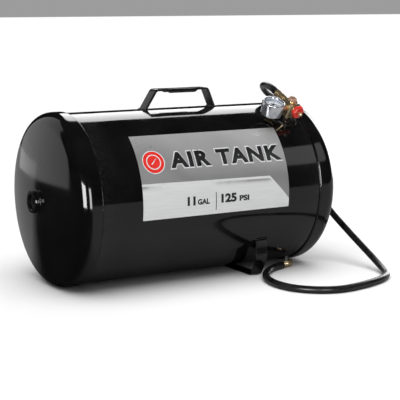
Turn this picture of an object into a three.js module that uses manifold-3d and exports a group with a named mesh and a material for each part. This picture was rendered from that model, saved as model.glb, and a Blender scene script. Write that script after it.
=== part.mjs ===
// Portable air receiver tank: an 11 gallon welded steel receiver that lies on its side, with a brass
// outlet manifold (shut-off valve, pressure gauge, relief valve and fill valve) and an air hose that
// ends in a tyre chuck.
// Millimetres. +Z is up, +X runs along the tank's axis towards the manifold, -Y is the label's side.
// The origin is on the floor, under the middle of the tank.

import * as THREE from 'three';
import { mergeVertices } from 'three/addons/utils/BufferGeometryUtils.js';
import Module from 'manifold-3d';

const wasm = await Module();
wasm.setup();

// ---- driving dimensions ----

const GAP = 0.3;               // kept between two pieces that touch
const TURNS_TANK = 48;         // facets round the tank
const TURNS = 20;              // facets round a fitting
const TURNS_FINE = 12;         // facets round a small pin

const AXIS_HEIGHT = 160;       // of the tank's axis above the floor
const SHELL = { radius: 157, wall: 2, halfLength: 243.4 };
const HEAD = { radius: 159.8, wall: 2.5, edge: 231, skirt: 15, depth: 57.3, knuckle: 27, hole: 17.8 };
const HEAD_APEX = HEAD.edge + HEAD.depth;
const PORT = { flange: 21, spigot: 17.4, bore: 14, proud: 9, inside: 8, plugSunk: 5, plugDepth: 10 };
const HEX_SOCKET = { acrossFlats: 12, depth: 7 };

const STRAP_WIDTH = 25;
const HANDLE = {
  top: 354, thickness: 4, bend: 7, baseLeft: -67, topLeft: -44.5, topRight: 67, baseRight: 81.5,
  gripFrom: -22, gripTo: 44, lipDrop: 4, lipWidth: 2.4,
};
const FOOT = { centreX: 114.5, thickness: 2.6, bend: 9, legY: 130.6, legTop: 70, kneeZ: 36, baseY: 112 };
const LABEL = { fromX: -152, toX: 158, fromAngle: 40.5, toAngle: 98.8, inner: 157.3, outer: 157.75, steps: 20 };

const OUTLET = { x: 199, angle: 32, turn: 10, hole: 14 };
const BUNG = { spigot: 13.6, flange: 20, hub: 12, bore: 7, inside: -6, flangeTop: 3.6, hubTop: 6.2 };
const BAR = { half: 9, chamfer: 2.4, bottom: 7, top: 42.5, collarTop: 45.5, collar: 9, maleRadius: 6.6 };
const PORT_THREAD = 4.9;       // radius of the fittings' threaded shanks
const PORT_BORE = 5.2;         // radius of the ports that take them
const LEVEL = { relief: 13, fill: 24.5, gauge: 28, valve: 31.5 };   // port heights above the shell

const KNOB = { radius: 13, inner: -17.8, outer: -26.2, lobes: 6, lobeDepth: 1.5, bore: 2.8 };
const STEM_RADIUS = 2.5;

const GAUGE = { offset: -47.5, lean: -7, caseRadius: 20.3, wall: 1, back: -7, rim: 16.5 };
const DIAL = { radius: 18.9, from: 11, to: 11.8 };
const POINTER = { rest: -45, from: 13.4, to: 14.2, length: 14, tail: 5, arbor: 0.8, pinion: 1.2 };
const SECTOR = { radius: 7.5, pivotDistance: 9, pivotAngle: -75, restTurn: -21.6, halfSpan: 26 };

const HOSE_RADIUS = 6.7;
const HOSE_STEPS = 44;
const HOSE_SIDES = 10;
const FERRULE = { radius: 7.4, groove: 6.5, start: 15, end: 43.2 };
const CHUCK_TURN = 22.6;       // degrees from +X towards +Y

// The hose's middle line, from the ferrule on the manifold over the tank's shoulder, down past the
// right head to the floor, and round on the floor to the chuck.
const HOSE_ROUTE = [
  [191.4, -63.3, 342.7], [189.3, -53.3, 349], [191, -33, 354], [200, -4, 352], [215, 16, 344.5],
  [233, 32, 335], [254, 44, 324], [274, 52, 310], [288, 55, 288], [297, 51, 250], [304, 38, 214],
  [315, 14, 169], [326, -17, 129], [335, -55, 94], [341, -98, 65], [342, -144, 41], [338, -192, 21],
  [333, -216, 13.3], [325, -240, 8.3], [311, -262, 6.9], [290, -279, 6.9], [266, -291.5, 6.9],
  [215, -307, 6.9], [162, -310.5, 6.9], [125, -294, 6.9], [99, -263, 6.9], [90, -222.5, 6.9],
  [97, -181, 6.9], [116, -145, 6.9], [141, -118, 7], [165, -103, 7.3], [189, -93, 7.6],
];

// ---- finishes ----

const finish = (color, roughness, metalness) =>
  new THREE.MeshStandardMaterial({ color, roughness, metalness });

const BLACK_PAINT = finish(0x050506, 0.12, 0);
const PLUG_STEEL = finish(0x0b0b0c, 0.5, 0.6);
const LABEL_FILM = finish(0xb9bdc0, 0.35, 0);
const BRASS = finish(0xb08a4a, 0.3, 1);
const COPPERY_BRASS = finish(0xb87a5c, 0.35, 1);
const RED_PLASTIC = finish(0xd3231c, 0.3, 0);
const CHROME = finish(0xd8dadc, 0.1, 1);
const DIAL_WHITE = finish(0xe4e8ee, 0.6, 0);
const POINTER_BLACK = finish(0x111111, 0.5, 0);
const CLEAR_LENS = finish(0xdfe8f2, 0.05, 0);
const SPRING_STEEL = finish(0x9a9da0, 0.3, 1);
const BLACK_PLASTIC = finish(0x101011, 0.45, 0);
const HOSE_RUBBER = finish(0x0a0a0a, 0.35, 0);
const SEAL_RUBBER = finish(0x0d0d0d, 0.7, 0);

// ---- geometry helpers ----

const radians = THREE.MathUtils.degToRad;

function signedVolume(position, index) {
  const [a, b, c] = [new THREE.Vector3(), new THREE.Vector3(), new THREE.Vector3()];
  let volume = 0;
  for (let i = 0; i < index.length; i += 3) {
    a.fromBufferAttribute(position, index[i]);
    b.fromBufferAttribute(position, index[i + 1]);
    c.fromBufferAttribute(position, index[i + 2]);
    volume += a.dot(b.cross(c)) / 6;
  }
  return volume;
}

// A three.js geometry as a solid: shared corners merged, no empty triangles, faces pointing out.
function toSolid(geometry) {
  if (!geometry.isBufferGeometry) return geometry;
  const bare = geometry.clone();
  bare.deleteAttribute('normal');
  bare.deleteAttribute('uv');
  const merged = mergeVertices(bare, 1e-4);
  const source = merged.index.array;
  const index = [];
  for (let i = 0; i < source.length; i += 3) {
    const [a, b, c] = [source[i], source[i + 1], source[i + 2]];
    if (a !== b && b !== c && c !== a) index.push(a, b, c);
  }
  if (signedVolume(merged.attributes.position, index) < 0) index.reverse();
  const vertProperties = new Float32Array(merged.attributes.position.array);
  return new wasm.Manifold(new wasm.Mesh({ numProp: 3, vertProperties, triVerts: new Uint32Array(index) }));
}

const join = (first, ...rest) => rest.reduce((sum, next) => sum.add(toSolid(next)), toSolid(first));
const cut = (first, ...rest) => rest.reduce((left, next) => left.subtract(toSolid(next)), toSolid(first));

function toGeometry(solid) {
  const mesh = solid.getMesh();
  const geometry = new THREE.BufferGeometry();
  geometry.setAttribute('position', new THREE.BufferAttribute(new Float32Array(mesh.vertProperties), 3));
  geometry.setIndex(new THREE.BufferAttribute(new Uint32Array(mesh.triVerts), 1));
  geometry.computeVertexNormals();
  return geometry;
}

function addPiece(parent, name, shape, material) {
  const mesh = new THREE.Mesh(toGeometry(toSolid(shape)), material);
  mesh.name = name;
  parent.add(mesh);
  return mesh;
}

// A closed profile of [radius, height] points turned about +Z.
function lathe(profile, turns = TURNS) {
  const points = profile.map(([radius, height]) => new THREE.Vector2(radius, height));
  points.push(points[0].clone());
  return new THREE.LatheGeometry(points, turns).rotateX(Math.PI / 2);
}

const rod = (radius, from, to, turns = TURNS) =>
  lathe([[0, from], [radius, from], [radius, to], [0, to]], turns);

const tube = (outer, inner, from, to, turns = TURNS) =>
  lathe([[inner, from], [outer, from], [outer, to], [inner, to]], turns);

// An outline of [x, y] points with a depth along +Z.
function prism(outline, from, to) {
  const shape = new THREE.Shape(outline.map(([x, y]) => new THREE.Vector2(x, y)));
  return new THREE.ExtrudeGeometry(shape, { depth: to - from, bevelEnabled: false }).translate(0, 0, from);
}

function hexagon(acrossFlats, from, to) {
  const corner = acrossFlats / Math.sqrt(3);
  const outline = [];
  for (let i = 0; i < 6; i += 1) {
    const angle = (i * Math.PI) / 3;
    outline.push([corner * Math.cos(angle), corner * Math.sin(angle)]);
  }
  return prism(outline, from, to);
}

function block(low, high) {
  const size = high.map((value, i) => value - low[i]);
  const centre = high.map((value, i) => (value + low[i]) / 2);
  return new THREE.BoxGeometry(...size).translate(...centre);
}

// These lay a shape that was made about +Z along another axis.
const alongX = (geometry) => geometry.rotateZ(Math.PI / 2).rotateY(Math.PI / 2);
const alongMinusX = (geometry) => geometry.rotateZ(Math.PI / 2).rotateY(-Math.PI / 2);
const alongY = (geometry) => geometry.rotateX(-Math.PI / 2);
const alongMinusY = (geometry) => geometry.rotateX(Math.PI / 2);

// Points round an arc from one angle to another, in degrees, both ends included.
function arc(centre, radius, from, to, steps) {
  const points = [];
  for (let i = 0; i <= steps; i += 1) {
    const angle = radians(from + ((to - from) * i) / steps);
    points.push([centre[0] + radius * Math.cos(angle), centre[1] + radius * Math.sin(angle)]);
  }
  return points;
}

// The outline of a flat strap bent along a line of corners, each rounded to the bend radius.
function bentStrap(corners, thickness, bend) {
  const line = corners.map(([x, y]) => new THREE.Vector2(x, y));
  const stations = [];
  const station = (point, direction) =>
    stations.push({ point: point.clone(), normal: new THREE.Vector2(-direction.y, direction.x) });
  const directionTo = (i) => line[i + 1].clone().sub(line[i]).normalize();
  station(line[0], directionTo(0));
  for (let i = 1; i < line.length - 1; i += 1) {
    const before = directionTo(i - 1);
    const turn = Math.atan2(before.cross(directionTo(i)), before.dot(directionTo(i)));
    const start = line[i].clone().addScaledVector(before, -bend * Math.tan(Math.abs(turn) / 2));
    const side = new THREE.Vector2(-before.y, before.x).multiplyScalar(Math.sign(turn) * bend);
    const centre = start.clone().add(side);
    const steps = Math.max(2, Math.ceil(Math.abs(turn) / radians(16)));
    for (let k = 0; k <= steps; k += 1) {
      const angle = (turn * k) / steps;
      const direction = before.clone().rotateAround(new THREE.Vector2(), angle);
      station(start.clone().rotateAround(centre, angle), direction);
    }
  }
  station(line[line.length - 1], directionTo(line.length - 2));
  const edge = (offset) => stations.map(({ point, normal }) =>
    [point.x + normal.x * offset, point.y + normal.y * offset]);
  return [...edge(thickness / 2), ...edge(-thickness / 2).reverse()];
}

// ---- tank ----

const tankAxis = new THREE.Group();
tankAxis.position.z = AXIS_HEIGHT;

// The frame of everything on the outlet bung: x along the tank, z out of the shell, whose surface is
// at z = 0, and y round the shell towards the top and back.
const outlet = new THREE.Group();
outlet.position.set(
  OUTLET.x,
  -SHELL.radius * Math.sin(radians(OUTLET.angle)),
  AXIS_HEIGHT + SHELL.radius * Math.cos(radians(OUTLET.angle)),
);
outlet.rotation.x = radians(OUTLET.angle);
outlet.rotateZ(radians(OUTLET.turn));

// A group on one of the manifold's ports, with its z axis pointing out of the bar.
function portGroup(parent, side, level) {
  const group = new THREE.Group();
  group.position.z = level;
  if (side === 'front') group.rotateX(Math.PI / 2);
  if (side === 'back') group.rotateX(-Math.PI / 2);
  if (side === 'right') group.rotateY(Math.PI / 2).rotateZ(Math.PI / 2);
  parent.add(group);
  return group;
}

function tankShell() {
  const { radius, wall, halfLength } = SHELL;
  const barrel = alongX(tube(radius, radius - wall, -halfLength, halfLength, TURNS_TANK));
  const drill = rod(OUTLET.hole, radius - 20, radius + 20)
    .rotateX(radians(OUTLET.angle)).translate(OUTLET.x, 0, 0);
  return cut(barrel, drill);
}

// Half the section of a dished head: straight skirt, knuckle and crown, out along +Z.
function headCurve(inset, knuckleSteps, crownSteps) {
  const { radius, skirt, edge, depth, knuckle, hole } = HEAD;
  const dish = depth - skirt;
  const ringRadius = radius - knuckle;
  const crown = (ringRadius ** 2 + dish ** 2 - knuckle ** 2) / (2 * (dish - knuckle));
  const ringHeight = edge + skirt;
  const crownHeight = ringHeight + dish - crown;
  const meet = THREE.MathUtils.radToDeg(Math.atan2(ringHeight - crownHeight, ringRadius));
  const holeEdge = THREE.MathUtils.radToDeg(Math.acos(hole / (crown - inset)));
  return [
    [radius - inset, edge],
    ...arc([ringRadius, ringHeight], knuckle - inset, 0, meet, knuckleSteps),
    ...arc([0, crownHeight], crown - inset, meet, holeEdge, crownSteps).slice(1),
  ];
}

const headSolid = () => lathe([...headCurve(0, 5, 4), ...headCurve(HEAD.wall, 3, 2).reverse()], TURNS_TANK);

function portBung() {
  const { flange, spigot, bore, proud, inside } = PORT;
  const face = HEAD_APEX + proud;
  return lathe([
    [bore, HEAD_APEX - inside], [spigot, HEAD_APEX - inside], [spigot, HEAD_APEX + GAP],
    [flange, HEAD_APEX + GAP], [flange, face - 1.2], [flange - 1.2, face], [bore + 1, face], [bore, face - 1],
  ]);
}

function portPlug() {
  const top = HEAD_APEX + PORT.proud - PORT.plugSunk;
  const radius = PORT.bore - GAP;
  const body = lathe([
    [0, top - PORT.plugDepth], [radius - 1, top - PORT.plugDepth], [radius, top - PORT.plugDepth + 1],
    [radius, top - 0.8], [radius - 0.8, top], [0, top],
  ]);
  return cut(body, hexagon(HEX_SOCKET.acrossFlats, top - HEX_SOCKET.depth, top + 1));
}

function addTank(group) {
  addPiece(tankAxis, 'tank_shell', tankShell(), BLACK_PAINT);
  addPiece(tankAxis, 'left_head', alongMinusX(headSolid()), BLACK_PAINT);
  addPiece(tankAxis, 'right_head', alongX(headSolid()), BLACK_PAINT);
  addPiece(tankAxis, 'left_port_bung', alongMinusX(portBung()), BLACK_PAINT);
  addPiece(tankAxis, 'right_port_bung', alongX(portBung()), BLACK_PAINT);
  const leftPlug = addPiece(tankAxis, 'left_port_plug', portPlug(), PLUG_STEEL);
  leftPlug.rotation.y = -Math.PI / 2;
  const rightPlug = addPiece(tankAxis, 'right_port_plug', portPlug(), PLUG_STEEL);
  rightPlug.rotation.y = Math.PI / 2;
  addPiece(tankAxis, 'front_label', labelSkin(), LABEL_FILM);
  group.add(tankAxis);
}

// ---- label ----

function labelSkin() {
  const from = 90 - LABEL.toAngle;
  const to = 90 - LABEL.fromAngle;
  const outline = [
    ...arc([0, 0], LABEL.outer, from, to, LABEL.steps),
    ...arc([0, 0], LABEL.inner, to, from, LABEL.steps),
  ].map(([y, z]) => [-y, z]);
  const intoTank = new THREE.Matrix4().makeBasis(
    new THREE.Vector3(0, 1, 0), new THREE.Vector3(0, 0, 1), new THREE.Vector3(1, 0, 0),
  );
  return prism(outline, LABEL.fromX, LABEL.toX).applyMatrix4(intoTank);
}

// ---- handle and foot ----

function carryHandle() {
  const { top, thickness, bend, baseLeft, topLeft, topRight, baseRight } = HANDLE;
  const shellTop = AXIS_HEIGHT + SHELL.radius + GAP;
  const middle = top - thickness / 2;
  const sunk = 3;              // the legs are drawn this much too long, then trimmed level
  const slope = (baseX, topX) => (sunk * (topX - baseX)) / (middle - shellTop);
  const outline = bentStrap([
    [baseLeft - slope(baseLeft, topLeft), shellTop - sunk], [topLeft, middle],
    [topRight, middle], [baseRight - slope(baseRight, topRight), shellTop - sunk],
  ], thickness, bend);
  const upright = new THREE.Matrix4().makeBasis(
    new THREE.Vector3(1, 0, 0), new THREE.Vector3(0, 0, 1), new THREE.Vector3(0, -1, 0),
  );
  const strap = prism(outline, -STRAP_WIDTH / 2, STRAP_WIDTH / 2).applyMatrix4(upright);
  const lips = [-1, 1].map((side) => {
    const outer = (side * STRAP_WIDTH) / 2;
    const inner = outer - side * HANDLE.lipWidth;
    return block(
      [HANDLE.gripFrom, Math.min(inner, outer), top - thickness - HANDLE.lipDrop],
      [HANDLE.gripTo, Math.max(inner, outer), top - thickness / 2],
    );
  });
  const belowShellTop = block([-200, -50, shellTop - 20], [200, 50, shellTop]);
  return cut(join(strap, ...lips), belowShellTop);
}

function footBracket() {
  const { centreX, thickness, bend, legY, legTop, kneeZ, baseY } = FOOT;
  const floorLine = thickness / 2;
  const outline = bentStrap(
    [[-legY, legTop], [-legY, kneeZ], [-baseY, floorLine], [baseY, floorLine], [legY, kneeZ], [legY, legTop]],
    thickness, bend,
  );
  const acrossTank = new THREE.Matrix4().makeBasis(
    new THREE.Vector3(0, 1, 0), new THREE.Vector3(0, 0, 1), new THREE.Vector3(1, 0, 0),
  );
  return prism(outline, centreX - STRAP_WIDTH / 2, centreX + STRAP_WIDTH / 2).applyMatrix4(acrossTank);
}

// ---- outlet bung and manifold ----

function outletBung() {
  const { spigot, flange, hub, bore, inside, flangeTop, hubTop } = BUNG;
  return lathe([
    [bore, inside], [spigot, inside], [spigot, GAP], [flange, GAP], [flange, flangeTop - 1],
    [flange - 1.5, flangeTop], [hub, flangeTop], [hub, hubTop], [bore, hubTop],
  ]);
}

function manifoldBody() {
  const { half, chamfer, bottom, top, collarTop, collar, maleRadius } = BAR;
  const inner = half - chamfer;
  const bar = prism([
    [half, -inner], [half, inner], [inner, half], [-inner, half],
    [-half, inner], [-half, -inner], [-inner, -half], [inner, -half],
  ], bottom, top);
  const turnedTop = rod(collar, top - 1, collarTop);
  const maleEnd = rod(maleRadius, BUNG.inside, bottom + 1);
  const port = (place, radius, from, level) =>
    place(rod(radius, from, half + 1)).translate(0, 0, level);
  return cut(
    join(bar, turnedTop, maleEnd),
    rod(3, BUNG.inside - 1, LEVEL.fill + 2),
    rod(1.4, LEVEL.fill - 3, LEVEL.valve - 2, TURNS_FINE).translate(0, -4, 0),
    rod(5.5, collarTop - 5, collarTop + 1),
    port(alongX, PORT_BORE, 2.7, LEVEL.relief),
    port(alongX, 4.3, 3, LEVEL.fill),
    port(alongMinusX, PORT_BORE, 3.7, LEVEL.gauge),
    port(alongMinusY, PORT_BORE, 1, LEVEL.valve),
    port(alongY, PORT_BORE, 3.7, LEVEL.valve),
    alongY(rod(2, -2, 4, TURNS_FINE)).translate(0, 0, LEVEL.valve),
  );
}

function manifoldTopPlug() {
  const seat = BAR.collarTop + GAP;
  const body = lathe([
    [0, seat - 4], [5.2, seat - 4], [5.2, seat], [8.2, seat], [8.2, seat + 1.4], [7.2, seat + 2.2], [0, seat + 2.2],
  ]);
  return cut(body, hexagon(6, seat - 1.5, seat + 3));
}

function addManifold(parent) {
  addPiece(parent, 'manifold_body', manifoldBody(), BRASS);
  addPiece(parent, 'manifold_top_plug', manifoldTopPlug(), COPPERY_BRASS);
}

// ---- shut-off valve, on the manifold's front ----

function valveKnob() {
  const { radius, inner, outer, lobes, lobeDepth, bore } = KNOB;
  const outline = [];
  const steps = lobes * 8;
  for (let i = 0; i < steps; i += 1) {
    const angle = (i * 2 * Math.PI) / steps;
    const reach = radius - lobeDepth * (0.5 - 0.5 * Math.cos(lobes * angle));
    outline.push([reach * Math.cos(angle), reach * Math.sin(angle)]);
  }
  return cut(
    prism(outline, -inner, -outer),
    rod(bore, -inner - 1, -outer + 1),
    tube(radius - 3.5, 5, -outer - 1.6, -outer + 1),
  );
}

function addShutOffValve(parent) {
  const port = portGroup(parent, 'front', LEVEL.valve);
  const stem = lathe([[0, 3.6], [STEM_RADIUS, 3.6], [STEM_RADIUS, 33.2], [1.7, 34], [0, 34]]);
  const bonnet = cut(
    join(rod(PORT_THREAD, 6.7, BAR.half + 0.6), hexagon(14, BAR.half + GAP, 15)),
    rod(KNOB.bore, 6, 16),
  );
  addPiece(port, 'valve_seat_washer', rod(3.2, 1.3, 3.3), SEAL_RUBBER);
  addPiece(port, 'valve_stem', stem, BRASS);
  addPiece(port, 'valve_bonnet', bonnet, BRASS);
  addPiece(port, 'valve_knob', valveKnob(), RED_PLASTIC);
  addPiece(port, 'knob_nut', cut(hexagon(8, 26.5, 31), rod(KNOB.bore, 26, 32)), BRASS);
}

// ---- pressure gauge, on the manifold's left ----
// Its frame has z out of the dial, x towards the manifold and the middle of the dial at the origin.

const onSector = (z) => {
  const angle = radians(SECTOR.pivotAngle);
  return [SECTOR.pivotDistance * Math.cos(angle), SECTOR.pivotDistance * Math.sin(angle), z];
};

function gaugeSocket() {
  const stem = [rod(PORT_THREAD, 38, 42.4), hexagon(11, 31, 38.2), rod(4, 14, 31.5)].map(alongX);
  const innerBlock = block([11, -4, -4], [18.6, 4, 2.5]);
  const plate = block([-5, -11, 2], [14, 5, 3]);
  return cut(
    join(innerBlock, plate, ...stem),
    rod(1.1, 1, 4, TURNS_FINE),
    rod(1.2, 1, 4, TURNS_FINE).translate(...onSector(0)),
  );
}

function gaugeCase() {
  const { caseRadius, wall, back, rim } = GAUGE;
  const cup = lathe([
    [0, back], [caseRadius - 1.5, back], [caseRadius, back + 1.5], [caseRadius, rim],
    [caseRadius - wall, rim], [caseRadius - wall, back + 1.9], [caseRadius - 1.9, back + wall], [0, back + wall],
  ], 32);
  return cut(cup, alongX(rod(4.4, 15, 24)));
}

function gaugeBezel() {
  const inner = GAUGE.caseRadius + GAP;
  return lathe([
    [inner, 12], [22, 12], [22, 18.4], [20.8, 19.8], [17.6, 19.8], [17.6, 18.9], [inner, 18.6],
  ], 32);
}

function gaugePointer() {
  const { from, to, length, tail, arbor, pinion, rest } = POINTER;
  const hand = prism(
    [[-tail, -1.3], [0, -1], [length, -0.3], [length, 0.3], [0, 1], [-tail, 1.3]],
    from, to,
  ).rotateZ(radians(rest));
  return join(
    hand,
    rod(2, from - 0.3, to + 0.4, TURNS_FINE),
    rod(arbor, 1.8, from, TURNS_FINE),
    rod(pinion, 3.8, 5.8, TURNS_FINE),
  );
}

function gaugeSector() {
  const { radius, pivotAngle, restTurn, halfSpan } = SECTOR;
  const middle = pivotAngle + 180 + restTurn;
  const plate = prism([
    ...arc([0, 0], radius, middle - halfSpan, middle + halfSpan, 8),
    ...arc([0, 0], 1.8, middle + 90, middle + 270, 6),
  ], 4.2, 5.4);
  return join(plate, rod(0.9, 1.9, 4.4, TURNS_FINE));
}

function bourdonTube() {
  return prism([...arc([0, 0], 15.8, 18, 290, 24), ...arc([0, 0], 14.2, 290, 18, 24)], -3.5, 1.5);
}

function addGauge(parent) {
  const gauge = new THREE.Group();
  gauge.position.set(GAUGE.offset, 0, LEVEL.gauge);
  gauge.rotation.x = radians(GAUGE.lean);
  parent.add(gauge);
  addPiece(gauge, 'gauge_socket', gaugeSocket(), BRASS);
  addPiece(gauge, 'gauge_case', gaugeCase(), CHROME);
  addPiece(gauge, 'gauge_bezel', gaugeBezel(), CHROME);
  addPiece(gauge, 'gauge_lens', rod(GAUGE.caseRadius, 16.8, 18.3, 32), CLEAR_LENS);
  addPiece(gauge, 'gauge_dial', tube(DIAL.radius, 1.3, DIAL.from, DIAL.to, 32), DIAL_WHITE);
  addPiece(gauge, 'gauge_pointer', gaugePointer(), POINTER_BLACK);
  addPiece(gauge, 'gauge_sector', gaugeSector(), BRASS).position.set(...onSector(0));
  addPiece(gauge, 'bourdon_tube', bourdonTube(), BRASS);
}

// ---- relief valve and fill valve, on the manifold's right ----

const RING = { radius: 7, wire: 0.8, pivot: 22.5, hang: -157 };   // hang: degrees in the port's frame

function reliefBody() {
  return cut(
    join(rod(PORT_THREAD, 3, 9.6), hexagon(12.7, BAR.half + GAP, 15), rod(5.4, 14.8, 18.9)),
    rod(2, 2, 12),
    rod(3.9, 11, 18),
    rod(1.7, 17, 20),
  );
}

function reliefSpring() {
  const coils = 2;
  const perCoil = 8;
  const points = [];
  for (let i = 0; i <= coils * perCoil; i += 1) {
    const angle = (i * 2 * Math.PI) / perCoil;
    const height = 15.2 + (2.1 * i) / (coils * perCoil);
    points.push(new THREE.Vector3(2.7 * Math.cos(angle), 2.7 * Math.sin(angle), height));
  }
  return sweep(points, 0.45, coils * perCoil, 5);
}

function reliefStem() {
  const eye = new THREE.SphereGeometry(3, 10, 6).translate(0, 0, RING.pivot);
  const hole = alongX(rod(1.75, -4, 4)).rotateZ(radians(RING.hang + 90)).translate(0, 0, RING.pivot);
  return cut(join(rod(3.5, 11.3, 12.6), rod(1.3, 12, RING.pivot - 1), eye), hole);
}

function addReliefValve(parent) {
  const port = portGroup(parent, 'right', LEVEL.relief);
  addPiece(port, 'relief_valve_body', reliefBody(), BRASS);
  addPiece(port, 'relief_valve_spring', reliefSpring(), SPRING_STEEL);
  addPiece(port, 'relief_valve_stem', reliefStem(), BRASS);
  const hang = radians(RING.hang);
  const ring = addPiece(port, 'relief_pull_ring', new THREE.TorusGeometry(RING.radius, RING.wire, 6, 24), CHROME);
  ring.position.set(RING.radius * Math.cos(hang), RING.radius * Math.sin(hang), RING.pivot);
}

function addFillValve(parent) {
  const port = portGroup(parent, 'right', LEVEL.fill);
  const body = cut(join(rod(4, 3.3, 9.6), hexagon(9, BAR.half + GAP, 13), rod(3.8, 12.8, 24)), rod(2.2, 2, 25));
  const cap = lathe([[4.1, 16], [4.9, 16], [4.9, 25.9], [4.3, 26.5], [0, 26.5], [0, 25.5], [4.1, 25.5]]);
  addPiece(port, 'fill_valve_body', body, BRASS);
  addPiece(port, 'fill_valve_pin', join(rod(1.9, 15, 16.5, TURNS_FINE), rod(0.9, 16.4, 23.5, TURNS_FINE)), BRASS);
  addPiece(port, 'fill_valve_cap', cap, BLACK_PLASTIC);
}

// ---- hose and tyre chuck ----

// A round tube along points: its section is a polygon with flat ends.
function sweep(points, radius, steps, sides) {
  const path = new THREE.CatmullRomCurve3(points, false, 'centripetal');
  const section = new THREE.Shape(
    arc([0, 0], radius, 0, 360, sides).slice(0, sides).map(([x, y]) => new THREE.Vector2(x, y)),
  );
  return new THREE.ExtrudeGeometry(section, { steps, extrudePath: path, bevelEnabled: false });
}

// A crimped ferrule: ridges at its outer radius with grooves between them.
function ferrule(from, to, grooves) {
  const { radius, groove } = FERRULE;
  const inner = 3.6;
  const pitch = (to - from) / (grooves + 0.5);
  const outline = [[inner, from], [radius, from]];
  for (let i = 0; i < grooves; i += 1) {
    const start = from + pitch * (i + 0.5);
    outline.push([radius, start], [groove, start + pitch * 0.15]);
    outline.push([groove, start + pitch * 0.45], [radius, start + pitch * 0.6]);
  }
  outline.push([radius, to], [inner, to]);
  return lathe(outline, 16);
}

function hoseBarb() {
  const tail = lathe([
    [0, 14], [3.2, 14], [3.2, 22], [2.8, 22.5], [3.2, 30], [2.8, 30.5], [3.2, 38], [2.6, 40], [0, 40],
  ], TURNS_FINE);
  return cut(join(rod(PORT_THREAD, 4, 9.6), hexagon(14, BAR.half + GAP, 14.7), tail), rod(1.9, 3, 41, TURNS_FINE));
}

function addHose(group) {
  const points = HOSE_ROUTE.map((point) => new THREE.Vector3(...point));
  const port = portGroup(outlet, 'back', LEVEL.valve);
  addPiece(port, 'hose_barb', hoseBarb(), BRASS);
  addPiece(port, 'hose_inlet_ferrule', ferrule(FERRULE.start, FERRULE.end, 4), BRASS);
  addPiece(group, 'air_hose', sweep(points, HOSE_RADIUS, HOSE_STEPS, HOSE_SIDES), HOSE_RUBBER);
}

function addChuck(group) {
  const chuck = new THREE.Group();
  chuck.position.set(...HOSE_ROUTE[HOSE_ROUTE.length - 1]);
  chuck.rotation.z = radians(CHUCK_TURN);
  group.add(chuck);
  const headX = 14.8;
  const body = cut(
    join(alongX(rod(6.6, 9.6, 20)), rod(5.5, 0, 6.3).translate(headX, 0, 0)),
    alongX(rod(3, 9, 17)),
    rod(3.4, -2.2, 7).translate(headX, 0, 0),
  );
  const pin = join(rod(2.9, 0.5, 2, TURNS_FINE), rod(1.1, 1.9, 14, TURNS_FINE)).translate([headX, 0, 0]);
  const seal = lathe([[2.6, 6.6], [5.2, 6.6], [5.2, 9], [4.6, 15.5], [2.6, 15.5]]).translate(headX, 0, 0);
  addPiece(chuck, 'hose_end_ferrule', alongX(ferrule(GAP, 9.3, 2)), BRASS);
  addPiece(chuck, 'chuck_body', body, BRASS);
  addPiece(chuck, 'chuck_end_plug', alongX(hexagon(14, 20.3, 26.5)), BRASS);
  addPiece(chuck, 'chuck_seal', seal, SEAL_RUBBER);
  addPiece(chuck, 'chuck_pin', pin, BRASS);
}

// ---- the assembly ----

const receiver = new THREE.Group();
addTank(receiver);
addPiece(receiver, 'carry_handle', carryHandle(), BLACK_PAINT);
addPiece(receiver, 'foot_bracket', footBracket(), BLACK_PAINT);
receiver.add(outlet);
addPiece(outlet, 'outlet_bung', outletBung(), BLACK_PAINT);
addManifold(outlet);
addShutOffValve(outlet);
addGauge(outlet);
addReliefValve(outlet);
addFillValve(outlet);
addHose(receiver);
addChuck(receiver);

export default receiver;
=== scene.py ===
import math

import bmesh
import bpy
from mathutils import Matrix, Vector


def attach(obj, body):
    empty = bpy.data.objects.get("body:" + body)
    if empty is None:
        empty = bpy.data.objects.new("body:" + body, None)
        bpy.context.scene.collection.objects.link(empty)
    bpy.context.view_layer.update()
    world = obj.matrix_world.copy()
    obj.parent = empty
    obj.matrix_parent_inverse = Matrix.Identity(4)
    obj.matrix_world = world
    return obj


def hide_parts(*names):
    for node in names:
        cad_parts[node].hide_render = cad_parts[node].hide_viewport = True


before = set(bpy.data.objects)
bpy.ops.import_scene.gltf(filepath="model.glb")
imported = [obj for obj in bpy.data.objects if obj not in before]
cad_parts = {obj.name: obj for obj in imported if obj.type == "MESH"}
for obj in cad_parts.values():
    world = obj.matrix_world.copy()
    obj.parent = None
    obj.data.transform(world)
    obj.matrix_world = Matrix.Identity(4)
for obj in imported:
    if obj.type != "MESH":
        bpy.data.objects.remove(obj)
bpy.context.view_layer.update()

MM = 0.001
radians = math.radians

# ---- dimensions, in millimetres, as in the CAD ----

AXIS_HEIGHT = 160
SHELL_RADIUS = 157
SHELL_HALF = 243.4
HEAD = {"radius": 159.8, "wall": 2.5, "edge": 231, "skirt": 15, "depth": 57.3, "knuckle": 27, "hole": 17.8}
HEAD_APEX = HEAD["edge"] + HEAD["depth"]
BUNG_FACE = HEAD_APEX + 9
LABEL_RADIUS = 157.45
LABEL = {"from_x": -152, "to_x": 158, "low": -8.8, "high": 49.5}
OUTLET = {"x": 199, "angle": 32, "turn": 10}
LEVEL = {"relief": 13, "fill": 24.5, "gauge": 28, "valve": 31.5}
GAUGE_PLACE = {"offset": -47.5, "lean": -7}
STRAP_WIDTH = 25
HOSE_RADIUS = 6.7
CHUCK_TURN = 22.6
RING = {"radius": 7, "wire": 0.8, "pivot": 22.5, "hang": -157}
DIAL_START = -45
DIAL_SWEEP = 270

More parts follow.
